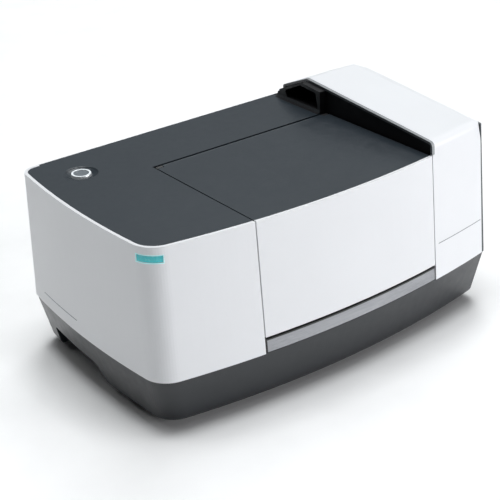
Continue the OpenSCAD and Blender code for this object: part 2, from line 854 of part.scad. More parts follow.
module guide_rods() {
    color([0.8, 0.81, 0.83]) for (s = [-1, 1]) rod_y(-80.5, -27.5, splitter_x + s * rod_dx, rod_z, rod_r);
}

module mirror_carriage() {
    color([0.25, 0.26, 0.28]) difference() {
        box(splitter_x - 19, splitter_x + 19, carriage_y0, carriage_y1, rod_z - 7, beam_z + 12);
        for (s = [-1, 1]) rod_y(-90, -20, splitter_x + s * rod_dx, rod_z, rod_r + run_gap);
    }
}

module moving_mirror() {
    color([0.88, 0.88, 0.85]) rod_y(carriage_y1, carriage_y1 + 4, splitter_x, beam_z, 15);
}

module drive_coil() {
    color([0.7, 0.4, 0.2]) difference() {
        rod_y(carriage_y0 - 9, carriage_y0, splitter_x, beam_z, 10.5);
        rod_y(carriage_y0 - 10, carriage_y0 - 1, splitter_x, beam_z, 9);
    }
}

module magnet_yoke() {
    color([0.4, 0.41, 0.43]) difference() {
        union() {
            rod_y(-80, carriage_y0 - 6.6, splitter_x, beam_z, 14);
            box(splitter_x - 14, splitter_x + 14, -80, -72, rod_z + 7, beam_z);
        }
        difference() {
            rod_y(-76, 0, splitter_x, beam_z, 11.5);
            rod_y(-77, carriage_y0 - 6.6, splitter_x, beam_z, 8);
        }
    }
}

src_x = -168;
src_y = 74;

module ir_source() {
    color([0.9, 0.85, 0.75]) translate([src_x, src_y, beam_z - 10]) cylinder(h = 20, r = 2);
    color([0.8, 0.8, 0.75]) translate([src_x, src_y, beam_z - 26]) cylinder(h = 16, r = 5);
}

module source_housing() {
    color([0.55, 0.56, 0.58]) difference() {
        union() {
            box(src_x - 11, src_x + 11, src_y - 14, src_y + 14, bench_top, beam_z + 20);
            for (i = [0:6]) box(src_x - 13, src_x + 11, src_y - 17, src_y + 17, bench_top + 8 + i * 9, bench_top + 10.5 + i * 9);
        }
        translate([src_x, src_y, bench_top + 26]) cylinder(h = beam_z - bench_top - 10, r = 8);
        rod_x(src_x, 0, src_y, beam_z, 7);
    }
}

module collimating_mirror() {
    color([0.8, 0.8, 0.78]) translate([splitter_x, src_y, 0]) difference() {
        translate([0, 0, bench_top]) cylinder(h = beam_z + 16 - bench_top, r = 17);
        rotate([0, 0, 45]) box(-40, 4, -40, 40, bench_top + 22, far);
        translate([-34, -34, beam_z]) sphere(r = 46);
    }
}

module laser_module() {
    color([0.2, 0.2, 0.22]) {
        box(-116, -100, hy1 + 6, hy1 + 50, bench_top, bench_top + 10);
        rod_y(hy1 + 2, hy1 + 44, -108, bench_top + 18, 8);
    }
}

det_x = 152;

module detector_mirror() {
    color([0.82, 0.82, 0.8]) translate([det_x, beam_y, 0]) difference() {
        translate([0, 0, bench_top]) cylinder(h = beam_z + 20 - bench_top, r = 21);
        rotate([0, 0, -45]) box(-60, 4, -60, 60, bench_top + 22, far);
        translate([-40, 40, beam_z]) sphere(r = 54);
    }
}

module detector_can() {
    color([0.8, 0.78, 0.6]) {
        rod_y(40, 48, det_x, beam_z, 7.5);
        rod_y(47, 48.5, det_x, beam_z, 9);
    }
}

module detector_board() {
    color([0.12, 0.4, 0.22]) box(det_x - 24, det_x + 24, 48.6, 50.2, 76, 140);
    color([0.3, 0.3, 0.32]) {
        for (i = [0:2]) box(det_x - 18 + i * 13, det_x - 9 + i * 13, 50.2, 53, 86, 94);
        box(det_x - 24, det_x + 24, 46, 56, bench_top, 76);
    }
}

module desiccant_cartridge() {
    color([0.85, 0.87, 0.9]) difference() {
        rod_y(66, rear_panel_y - 3, cap_x, cap_z, 19.5);
        rod_y(69, rear_panel_y, cap_x, cap_z, 17.5);
    }
    color([0.3, 0.45, 0.75]) rod_y(69, rear_panel_y - 12, cap_x, cap_z, 17.4);
}

module desiccant_cap() {
    face_y = rear_panel_y + rear_panel_t;
    color([0.12, 0.13, 0.14]) difference() {
        union() {
            rod_y(rear_panel_y - 2.4, face_y + 0.4, cap_x, cap_z, 21);
            rod_y(face_y + 0.3, face_y + 2.6, cap_x, cap_z, 24);
            box(cap_x - 20, cap_x + 20, face_y + 2, face_y + 3.8, cap_z - 3.5, cap_z + 3.5);
        }
        for (a = [0:15:345]) translate([cap_x, face_y, cap_z]) rotate([0, a, 0]) translate([24, 3, 0])
            rotate([90, 0, 0]) cylinder(h = 6, r = 1.2, center = true);
    }
}

// ---------- Electronics ----------

module main_board() {
    board_z = 131;
    color([0.08, 0.35, 0.2]) box(-70, 100, 50, rear_panel_y - 4, board_z, board_z + 1.6);
    color([0.1, 0.1, 0.11]) {
        for (i = [0:3]) box(-60 + i * 22, -46 + i * 22, 60, 74, board_z + 1.6, board_z + 3.6);
        for (i = [0:2]) box(46 + i * 16, 54 + i * 16, 84, 100, board_z + 1.6, board_z + 8);
    }
    color([0.75, 0.76, 0.78]) for (i = [0:7]) box(40 + i * 6, 43 + i * 6, 56, 78, board_z + 1.6, board_z + 14);
    color([0.7, 0.7, 0.6]) for (x = [-64, 94], y = [54, 104]) translate([x, y, board_z - 6]) cylinder(h = 6, r = 3);
}

module power_supply() {
    color([0.72, 0.73, 0.74]) difference() {
        box(-86, 0, 46, 100, chassis_z + 2, 88);
        box(-84, -2, 48, 98, chassis_z + 4, 86);
        for (i = [0:8]) box(-78 + i * 8.5, -74 + i * 8.5, 54, 92, 80, far);
    }
    color([0.1, 0.3, 0.2]) box(-82, -4, 49, 97, chassis_z + 6, chassis_z + 8);
}

// ---------- Power button ----------

dish_floor = deck_z - dish_h;
cap_top = deck_z - 0.2;
switch_top = 163;

module button_bezel() {
    color([0.8, 0.82, 0.84]) translate([button_x, button_y, 0]) difference() {
        union() {
            translate([0, 0, dish_floor]) cylinder(h = 2.6, r1 = bezel_r + 0.6, r2 = bezel_r);
            translate([0, 0, deck_under - 5]) cylinder(h = dish_floor - deck_under + 5, r = bezel_r - 1);
        }
        translate([0, 0, 100]) cylinder(h = 100, r = cap_r + 0.2);
    }
}

module power_button() {
    color([0.55, 0.58, 0.6]) translate([button_x, button_y, 0]) {
        translate([0, 0, cap_top - 6]) cylinder(h = 6, r = cap_r);
        translate([0, 0, switch_top + 1.5]) cylinder(h = cap_top - switch_top - 6, r = 2);
    }
}

spring_turns = 4;
spring_wire = 0.35;
spring_r = 4;
spring_steps = 16 * spring_turns;

function ring_point(i, k) = let (a = 360 * i / 16, b = 360 * k / 6, r = spring_r + spring_wire * cos(b))
    [r * cos(a), r * sin(a), (cap_top - 6 - switch_top - 2 * spring_wire) * i / spring_steps + spring_wire * (1 + sin(b))];

module button_spring() {
    points = [for (i = [0:spring_steps], k = [0:5]) ring_point(i, k)];
    sides = [for (i = [0:spring_steps - 1], k = [0:5])
        let (a = i * 6 + k, b = i * 6 + (k + 1) % 6) [a, b, b + 6, a + 6]];
    ends = [[5, 4, 3, 2, 1, 0], [for (k = [0:5]) spring_steps * 6 + k]];
    color([0.8, 0.81, 0.83]) translate([button_x, button_y, switch_top]) polyhedron(points, concat(sides, ends), convexity = 8);
}

module button_switch() {
    color([0.1, 0.1, 0.11]) translate([button_x, button_y, 0]) {
        box(-7, 7, -7, 7, switch_top - 7, switch_top);
        difference() {
            box(-12, 12, -7, 7, switch_top - 2, deck_under - 4.1);
            box(-10, 10, -8, 8, switch_top - 3, deck_under - 1);
        }
    }
    color([0.08, 0.35, 0.2]) box(button_x - 12, button_x + 12, button_y - 9, button_y + 9, switch_top - 9, switch_top - 7);
}

// ---------- Nodes ----------

base_tray();
rubber_feet();
left_cover();
top_cover();
tower_cover();
tower_wall();
rim_trim();
right_panel();
rear_panel();
front_strip();
lid_top();
lid_front();
lid_liner();
compartment_seal();
hinge_brackets();
hinge_pins();
sample_tub();
accessory_plate();
sample_holder();
window_discs();
window_rings();
chassis_plate();
bench_isolators();
optical_bench();
interferometer_housing();
interferometer_cover();
beam_splitter();
beam_splitter_mount();
fixed_mirror();
slide_frame();
guide_rods();
mirror_carriage();
moving_mirror();
drive_coil();
magnet_yoke();
ir_source();
source_housing();
collimating_mirror();
laser_module();
detector_mirror();
detector_can();
detector_board();
desiccant_cartridge();
desiccant_cap();
main_board();
power_supply();
fan_housing();
fan_rotor();
power_inlet();
rocker_switch();
data_port();
purge_port();
power_button();
button_bezel();
button_spring();
button_switch();
status_window();
status_board();
cover_screws();
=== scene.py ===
"""Looks of the compact bench spectrophotometer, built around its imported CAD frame.

Every length is in metres, in the CAD frame: X to the right, Y to the back, Z up, the bench top at Z = 0.
"""
import math

import bmesh
import bpy
from mathutils import Matrix, Vector
from mathutils.bvhtree import BVHTree


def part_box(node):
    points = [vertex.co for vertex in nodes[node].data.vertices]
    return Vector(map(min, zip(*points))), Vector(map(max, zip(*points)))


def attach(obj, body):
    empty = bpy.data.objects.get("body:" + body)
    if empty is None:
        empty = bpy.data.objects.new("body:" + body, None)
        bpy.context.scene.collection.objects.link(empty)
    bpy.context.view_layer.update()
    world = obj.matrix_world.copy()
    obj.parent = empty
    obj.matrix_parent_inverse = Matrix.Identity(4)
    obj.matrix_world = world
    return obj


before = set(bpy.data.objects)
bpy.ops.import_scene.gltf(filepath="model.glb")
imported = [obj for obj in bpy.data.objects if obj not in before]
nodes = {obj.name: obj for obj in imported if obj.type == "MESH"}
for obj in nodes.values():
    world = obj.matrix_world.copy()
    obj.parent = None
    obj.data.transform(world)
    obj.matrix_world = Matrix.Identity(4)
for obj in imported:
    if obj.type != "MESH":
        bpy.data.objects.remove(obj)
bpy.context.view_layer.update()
scene = bpy.context.scene
MM = 0.001


# ---------- Camera, floor and light ----------

def aim(obj, target):
    obj.rotation_euler = (Vector(target) - obj.location).to_track_quat("-Z", "Y").to_euler()


def make_camera():
    """The photo's camera. Its place, turn and lens were worked out by a separate fitting program."""
    place = (-0.6897, -0.9322, 0.6651)
    azimuth, elevation, roll = math.radians(35.84), math.radians(26.65), math.radians(-2.48)
    forward = Vector((math.sin(azimuth) * math.cos(elevation), math.cos(azimuth) * math.cos(elevation),
                      -math.sin(elevation)))
    data = bpy.data.cameras.new("camera")
    data.sensor_width = 36.0
    data.lens = 98.2
    data.clip_start = 0.05
    data.clip_end = 60.0
    camera = bpy.data.objects.new("camera", data)
    scene.collection.objects.link(camera)
    turn = forward.to_track_quat("-Z", "Y").to_matrix() @ Matrix.Rotation(roll, 3, "Z")
    camera.matrix_world = Matrix.Translation(place) @ turn.to_4x4()
    scene.camera = camera


def softbox(name, place, target, width, height, power, tint=(1.0, 1.0, 1.0)):
    data = bpy.data.lights.new(name, "AREA")
    data.shape = "RECTANGLE"
    data.size = width
    data.size_y = height
    data.energy = power
    data.color = tint
    light = bpy.data.objects.new(name, data)
    light.location = place
    scene.collection.objects.link(light)
    aim(light, target)
    return light


OVERHEAD_TARGET = (0.0, 0.0, 0.1)
OVERHEAD_TINT = (0.97, 0.99, 1.0)

# name, place, target, width, height, power in watts, tint
# The powers were worked out by a separate light-fitting program, from colours sampled off the photo.
SOFTBOXES = [
    ("top", (0.0, 0.0, 6.0), OVERHEAD_TARGET, 3.0, 3.0, 280.0, OVERHEAD_TINT),
    ("top_back_right", (3.0, 3.0, 6.0), OVERHEAD_TARGET, 3.0, 3.0, 129.0, OVERHEAD_TINT),
    ("top_back_left", (-3.0, 3.0, 6.0), OVERHEAD_TARGET, 3.0, 3.0, 36.0, OVERHEAD_TINT),
    ("top_front_right", (2.6, -2.6, 6.0), OVERHEAD_TARGET, 3.0, 3.0, 28.0, OVERHEAD_TINT),
    ("front_right", (2.3, -2.8, 0.6), (0.1, -0.1, 0.1), 2.2, 1.1, 83.0, (0.98, 0.98, 1.0)),
    ("backdrop", (2.6, 3.6, 2.2), (0.0, 0.0, 0.2), 4.0, 2.4, 10.0, (0.90, 0.96, 1.0)),
]


def make_studio():
    world = bpy.data.worlds.new("studio")
    world.use_nodes = True
    sky = world.node_tree.nodes["Background"]
    sky.inputs["Color"].default_value = (0.93, 0.97, 1.0, 1.0)
    sky.inputs["Strength"].default_value = 0.01
    scene.world = world
    scene.view_settings.view_transform = "Standard"
    for row in SOFTBOXES:
        softbox(*row)

    bm = bmesh.new()
    bmesh.ops.create_grid(bm, x_segments=4, y_segments=4, size=6.0)
    mesh = bpy.data.meshes.new("floor")
    bm.to_mesh(mesh)
    bm.free()
    floor = bpy.data.objects.new("floor", mesh)
    floor.location.z = -0.1 * MM
    scene.collection.objects.link(floor)
    paper = plastic("floor_paper", (0.96, 0.96, 0.96), 0.9, grain=0.02, grain_size=2.0, specular=0.1)
    floor.data.materials.append(paper)


# ---------- Procedural materials ----------

class Shade:
    """A material with one Principled shader and short names for the nodes used below."""

    def __init__(self, name):
        self.mat = bpy.data.materials.new(name)
        self.mat.use_nodes = True
        self.tree = self.mat.node_tree
        self.bsdf = self.tree.nodes["Principled BSDF"]
        self.place = self.add("ShaderNodeTexCoord").outputs["Object"]

    def add(self, kind, **settings):
        node = self.tree.nodes.new(kind)
        for key, value in settings.items():
            setattr(node, key, value)
        return node

    def link(self, source, target):
        self.tree.links.new(source, target)

    def set(self, **values):
        for key, value in values.items():
            socket = self.bsdf.inputs[key.replace("_", " ")]
            if isinstance(value, bpy.types.NodeSocket):
                self.link(value, socket)
            elif isinstance(value, tuple) and len(value) == 3:
                socket.default_value = (*value, 1.0)
            else:
                socket.default_value = value
        return self

    def stretched(self, x, y, z):
        node = self.add("ShaderNodeMapping")
        node.inputs["Scale"].default_value = (x, y, z)
        self.link(self.place, node.inputs["Vector"])
        return node.outputs["Vector"]

    def noise(self, scale, detail=2.0, vector=None):
        node = self.add("ShaderNodeTexNoise")
        node.inputs["Scale"].default_value = scale
        node.inputs["Detail"].default_value = detail
        self.link(vector or self.place, node.inputs["Vector"])
        return node.outputs["Fac"]

    def spread(self, value, low, high, start=0.3, end=0.7):
        node = self.add("ShaderNodeMapRange")
        for key, number in (("From Min", start), ("From Max", end), ("To Min", low), ("To Max", high)):
            node.inputs[key].default_value = number
        self.link(value, node.inputs["Value"])
        return node.outputs["Result"]

    def blend(self, value, first, second):
        node = self.add("ShaderNodeMix", data_type="RGBA")
        for socket, colour in ((node.inputs[6], first), (node.inputs[7], second)):
            if isinstance(colour, bpy.types.NodeSocket):
                self.link(colour, socket)
            else:
                socket.default_value = (*colour, 1.0)
        self.link(value, node.inputs[0])
        return node.outputs[2]

    def axis(self, which, source=None):
        node = self.add("ShaderNodeSeparateXYZ")
        self.link(source or self.place, node.inputs["Vector"])
        return node.outputs[which]

    def math(self, operation, first, second):
        node = self.add("ShaderNodeMath", operation=operation)
        for socket, value in zip(node.inputs, (first, second)):
            if isinstance(value, bpy.types.NodeSocket):
                self.link(value, socket)
            else:
                socket.default_value = value
        return node.outputs["Value"]

    def normal_axis(self, which):
        return self.axis(which, self.add("ShaderNodeNewGeometry").outputs["Normal"])

    def bump(self, height, depth, strength=1.0, below=None):
        node = self.add("ShaderNodeBump")
        node.inputs["Strength"].default_value = strength
        node.inputs["Distance"].default_value = depth
        self.link(height, node.inputs["Height"])
        if below is not None:
            self.link(below, node.inputs["Normal"])
        return node.outputs["Normal"]


def shade(colour, amount):
    return tuple(max(0.0, min(1.0, c * amount)) for c in colour)


def plastic(name, colour, rough, grain=0.25, grain_size=0.45, variation=0.03, specular=0.5):
    """Moulded plastic: spark-eroded grain, slow colour drift and small changes of gloss."""
    s = Shade(name)
    drift = s.spread(s.noise(14.0, 3.0), 0.0, 1.0)
    mottle = s.spread(s.noise(900.0, 1.0), 0.0, 1.0)
    body = s.blend(drift, shade(colour, 1.0 - variation), shade(colour, 1.0 + variation))
    fine = s.blend(s.math("MULTIPLY", mottle, 0.35), body, shade(colour, 1.0 - 2.0 * variation))
    cells = s.noise(1000.0 / grain_size / 2.0, 2.0)
    swell = s.bump(s.noise(35.0, 2.0), 0.02 * MM, 0.25)
    s.set(Base_Color=fine, Roughness=s.spread(s.noise(110.0, 3.0), rough - 0.04, rough + 0.04),
          Normal=s.bump(cells, 0.02 * MM, grain, swell), IOR=1.47)
    s.set(Specular_IOR_Level=specular)
    return s.mat


def brushed(name, colour, rough, across, line=0.18, depth=0.006, contrast=0.16):
    """Brushed or ground metal: fine lines along one direction; across gives the three stretch factors."""
    s = Shade(name)
    way = s.stretched(*across)
    lines = s.noise(1000.0 / line, 3.0, way)
    wide = s.noise(1000.0 / line / 9.0, 2.0, way)
    tone = s.spread(s.math("ADD", s.math("MULTIPLY", lines, 0.6), s.math("MULTIPLY", wide, 0.4)), 0.0, 1.0)
    body = s.blend(tone, shade(colour, 1.0 - contrast), shade(colour, 1.0 + contrast))
    s.set(Base_Color=body, Metallic=1.0, Roughness=s.spread(lines, rough - 0.07, rough + 0.09),
          Normal=s.bump(lines, depth * MM, 0.6))
    return s.mat


def cast(name, colour, rough, size=1.2, depth=0.05, metallic=1.0):
    """Cast or blasted metal: rounded grit with darker hollows."""
    s = Shade(name)
    grit = s.noise(1000.0 / size, 4.0)
    stain = s.spread(s.noise(25.0, 4.0), 0.0, 1.0)
    hollow = s.spread(grit, 0.0, 1.0)
    body = s.blend(hollow, shade(colour, 0.78), shade(colour, 1.08))
    s.set(Base_Color=s.blend(s.math("MULTIPLY", stain, 0.3), body, shade(colour, 0.85)), Metallic=metallic,
          Roughness=s.spread(grit, rough + 0.08, rough - 0.06), Normal=s.bump(grit, depth * MM, 0.7))
    return s.mat


def galvanised(name, colour):
    """Zinc spangle on sheet steel."""
    s = Shade(name)
    cells = s.add("ShaderNodeTexVoronoi")
    cells.inputs["Scale"].default_value = 160.0
    s.link(s.place, cells.inputs["Vector"])
    tone = s.axis(0, cells.outputs["Color"])
    s.set(Base_Color=s.blend(tone, shade(colour, 0.8), shade(colour, 1.1)), Metallic=1.0,
          Roughness=s.spread(tone, 0.28, 0.5, 0.0, 1.0), Normal=s.bump(s.noise(400.0, 2.0), 0.01 * MM, 0.4))
    return s.mat


def turned(name, colour, rough, centre, flat, pitch=0.35, metallic=1.0):
    """Lathe rings round an axis; flat picks the two directions that the rings lie in."""
    s = Shade(name)
    shift = s.add("ShaderNodeVectorMath", operation="SUBTRACT")
    s.link(s.place, shift.inputs[0])
    shift.inputs[1].default_value = centre
    squeeze = s.add("ShaderNodeVectorMath", operation="MULTIPLY")
    s.link(shift.outputs[0], squeeze.inputs[0])
    squeeze.inputs[1].default_value = flat
    reach = s.add("ShaderNodeVectorMath", operation="LENGTH")
    s.link(squeeze.outputs[0], reach.inputs[0])
    rings = s.math("SINE", s.math("MULTIPLY", reach.outputs["Value"], 2.0 * math.pi / (pitch * MM)), 0.0)
    tone = s.spread(s.math("ADD", s.math("MULTIPLY", rings, 0.25), s.noise(700.0, 2.0)), 0.0, 1.0, 0.1, 0.9)
    s.set(Base_Color=s.blend(tone, shade(colour, 0.9), shade(colour, 1.08)), Metallic=metallic,
          Roughness=s.spread(tone, rough + 0.05, rough - 0.05, 0.0, 1.0),
          Normal=s.bump(rings, 0.004 * MM, 0.5))
    return s.mat


def mirror(name, colour, rough=0.04):
    """Front-surface mirror coating with faint cleaning haze."""
    s = Shade(name)
    haze = s.noise(60.0, 5.0)
    s.set(Base_Color=s.blend(s.spread(haze, 0.0, 1.0), colour, shade(colour, 0.93)), Metallic=1.0,
          Roughness=s.spread(haze, rough, rough + 0.07), Normal=s.bump(s.noise(1800.0, 2.0), 0.001 * MM, 0.2))
    return s.mat


def crystal(name, colour, rough=0.05):
    """Infrared window crystal: clear, a little cloudy and polished with fine streaks."""
    s = Shade(name)
    cloud = s.noise(90.0, 5.0)
    s.set(Base_Color=s.blend(s.spread(cloud, 0.0, 1.0), colour, shade(colour, 0.94)),
          Roughness=s.spread(cloud, rough, rough + 0.12),
          Normal=s.bump(s.noise(1200.0, 1.0), 0.002 * MM, 0.3))
    s.set(Transmission_Weight=0.85, IOR=1.53)
    return s.mat


def rubber(name, colour=(0.018, 0.018, 0.019)):
    """Matt rubber with a pebbled skin and grey bloom."""
    s = Shade(name)
    skin = s.noise(1600.0, 3.0)
    bloom = s.spread(s.noise(70.0, 5.0), 0.0, 0.5)
    s.set(Base_Color=s.blend(bloom, colour, shade(colour, 2.2)), Roughness=s.spread(skin, 0.72, 0.9),
          Normal=s.bump(skin, 0.03 * MM, 0.6), IOR=1.5)
    s.set(Specular_IOR_Level=0.3)
    return s.mat


def circuit(name, solder, parts_above=None, up=2, parts=(0.02, 0.02, 0.022)):
    """Solder mask with copper tracks under it; parts standing above a height are dark mouldings."""
    s = Shade(name)
    grid = s.add("ShaderNodeTexBrick")
    grid.inputs["Scale"].default_value = 110.0
    grid.inputs["Mortar Size"].default_value = 0.035
    grid.inputs["Color1"].default_value = (0.0, 0.0, 0.0, 1.0)
    grid.inputs["Color2"].default_value = (0.25, 0.25, 0.25, 1.0)
    grid.inputs["Mortar"].default_value = (1.0, 1.0, 1.0, 1.0)
    s.link(s.place, grid.inputs["Vector"])
    board = s.blend(grid.outputs["Color"], solder, shade(solder, 1.9))
    speckle = s.spread(s.noise(260.0, 3.0), 0.0, 0.4)
    board = s.blend(speckle, board, shade(solder, 0.7))
    if parts_above is not None:
        board = s.blend(s.math("GREATER_THAN", s.axis(up), parts_above), board, parts)
    s.set(Base_Color=board, Roughness=s.spread(s.noise(200.0, 2.0), 0.3, 0.45),
          Normal=s.bump(grid.outputs["Fac"], 0.03 * MM, 0.5), IOR=1.5)
    return s.mat


def winding(name, colour):
    """Enamelled copper wire wound round the Y axis."""
    s = Shade(name)
    turns = s.math("SINE", s.math("MULTIPLY", s.axis(1), 2.0 * math.pi / (0.4 * MM)), 0.0)
    tone = s.spread(s.math("ADD", turns, s.noise(500.0, 2.0)), 0.0, 1.0, -0.6, 1.6)
    s.set(Base_Color=s.blend(tone, shade(colour, 0.55), colour), Metallic=0.9,
          Roughness=s.spread(tone, 0.45, 0.25, 0.0, 1.0), Normal=s.bump(turns, 0.05 * MM, 0.8))
    s.set(Coat_Weight=0.4)
    return s.mat


def wall_black_painted_light(name):
    """Near-black side of the tower; its faces turned to the left, short of the lid's side, are painted a
    lighter grey as painted light.
    """
    s = Shade(name)
    painted_side_mask = s.math("LESS_THAN", s.normal_axis(0), -0.35)
    lid_side_x = 110.6 * MM
    near = s.math("LESS_THAN", s.axis(0), lid_side_x)
    # Painted light: left-facing faces short of the lid's side get the lighter grey.
    painted_lit_mask = s.math("MULTIPLY", painted_side_mask, near)
    drift = s.spread(s.noise(18.0, 3.0), 0.0, 1.0)
    black = s.blend(drift, (0.0090, 0.0090, 0.0105), (0.0115, 0.0115, 0.0130))
    painted_lit_grey = s.blend(drift, (0.044, 0.048, 0.052), (0.050, 0.054, 0.058))
    s.set(Base_Color=s.blend(painted_lit_mask, black, painted_lit_grey), Roughness=s.spread(s.noise(120.0, 3.0), 0.5, 0.6),
          Normal=s.bump(s.noise(1100.0, 2.0), 0.02 * MM, 0.3), IOR=1.45)
    s.set(Specular_IOR_Level=0.3)
    return s.mat


def rim_grey_painted_shade(name):
    """Grey edging with painted shade: light on its top and front, painted darker on the side towards the lid.
    """
    s = Shade(name)
    # Painted shade: faces turned to the left, towards the lid, get the darker tone.
    painted_side_mask = s.spread(s.normal_axis(0), 1.0, 0.0, -0.75, -0.25)
    drift = s.spread(s.noise(30.0, 3.0), 0.0, 1.0)
    light = s.blend(drift, (0.27, 0.285, 0.295), (0.30, 0.315, 0.325))
    painted_shade_tone = s.blend(drift, (0.075, 0.082, 0.092), (0.085, 0.092, 0.100))
    s.set(Base_Color=s.blend(painted_side_mask, light, painted_shade_tone), Roughness=s.spread(s.noise(140.0, 3.0), 0.34, 0.46),
          Normal=s.bump(s.noise(1300.0, 2.0), 0.015 * MM, 0.25), IOR=1.47)
    return s.mat


def strip_metal(name):
    """Brushed strip under the lid, with a black band along its top and its left end that is painted shadow of
    the gaps there.
    """
    low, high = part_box("front_strip")
    s = Shade(name)
    way = s.stretched(0.012, 1.0, 1.0)
    lines = s.noise(2000.0, 3.0, way)
    wide = s.noise(220.0, 2.0, way)
    tone = s.spread(s.math("ADD", s.math("MULTIPLY", lines, 0.6), s.math("MULTIPLY", wide, 0.4)), 0.0, 1.0)
    metal = s.blend(tone, (0.25, 0.255, 0.27), (0.36, 0.365, 0.38))
    # Painted shadow: black bands at the top and left end stand in for the shaded gaps round the strip.
    top_shadow_width, end_shadow_width = 1.5 * MM, 1.4 * MM
    top = s.math("GREATER_THAN", s.axis(2), high.z - top_shadow_width)
    end = s.math("LESS_THAN", s.axis(0), low.x + end_shadow_width)
    painted_gap_shadow = s.math("MAXIMUM", top, end)
    s.set(Base_Color=s.blend(painted_gap_shadow, metal, (0.006, 0.006, 0.006)), Metallic=s.math("SUBTRACT", 1.0, painted_gap_shadow),
          Roughness=s.spread(lines, 0.30, 0.46), Normal=s.bump(lines, 0.010 * MM, 0.6))
    return s.mat


def chrome_ring_painted_glow(name):
    """Satin chrome ring of the button; a faint glow on its top faces, which is a guess, is a painted
    highlight that makes it almost white.
    """
    s = Shade(name)
    grain = s.noise(800.0, 3.0)
    chrome = s.blend(s.spread(grain, 0.0, 1.0), (0.80, 0.82, 0.84), (0.92, 0.93, 0.94))
    # Painted highlight: a faint glow on the upward faces.
    painted_highlight_faces = s.math("GREATER_THAN", s.normal_axis(2), 0.7)
    s.set(Base_Color=chrome, Metallic=0.55, Roughness=s.spread(grain, 0.24, 0.36),
          Normal=s.bump(grain, 0.004 * MM, 0.5),
          Emission_Color=s.blend(painted_highlight_faces, (0.02, 0.02, 0.02), (0.85, 0.95, 1.0)))
    s.set(Emission_Strength=0.34)
    return s.mat


def lit_window(name, colour, strength, low, high):
    """Light guide behind the corner slot, brighter towards its lower edge."""
    s = Shade(name)
    climb = s.spread(s.axis(2), 1.0, 0.0, low, high)
    glow = s.blend(climb, shade(colour, 0.62), shade(colour, 1.15))
    cloud = s.spread(s.noise(220.0, 3.0), 0.0, 0.25)
    s.set(Base_Color=s.blend(cloud, colour, shade(colour, 0.8)),
          Emission_Color=s.blend(cloud, glow, shade(colour, 0.9)),
          Roughness=s.spread(s.noise(300.0, 2.0), 0.2, 0.32),
          Normal=s.bump(s.noise(900.0, 2.0), 0.01 * MM, 0.2))
    s.set(Emission_Strength=strength, IOR=1.5)
    return s.mat


def ceramic(name):
    """Silicon carbide source on its ceramic foot: dark rod, pale foot, a dull glow at the rod."""
    s = Shade(name)
    low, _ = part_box("ir_source")
    foot_height = 16.0 * MM
    rod = s.math("GREATER_THAN", s.axis(2), low.z + foot_height)
    grit = s.noise(900.0, 4.0)
    s.set(Base_Color=s.blend(rod, (0.62, 0.60, 0.55), (0.16, 0.12, 0.10)),
          Roughness=s.spread(grit, 0.5, 0.75),
          Emission_Color=s.blend(rod, (0.0, 0.0, 0.0), (1.0, 0.32, 0.10)),
          Normal=s.bump(grit, 0.03 * MM, 0.6))
    s.set(Emission_Strength=1.2)
    return s.mat


def frosted(name, colour):
    """Translucent moulded canister."""
    s = Shade(name)
    cloud = s.noise(120.0, 4.0)
    s.set(Base_Color=s.blend(s.spread(cloud, 0.0, 1.0), colour, shade(colour, 0.85)),
          Roughness=s.spread(cloud, 0.4, 0.55), Normal=s.bump(s.noise(1000.0, 2.0), 0.02 * MM, 0.4))
    s.set(Transmission_Weight=0.35, IOR=1.49)
    return s.mat


WHITE = (0.775, 0.785, 0.805)
DECK = (0.025, 0.033, 0.041)
STEEL = (0.56, 0.57, 0.58)
ALLOY = (0.66, 0.67, 0.68)
BLACK = (0.016, 0.016, 0.017)


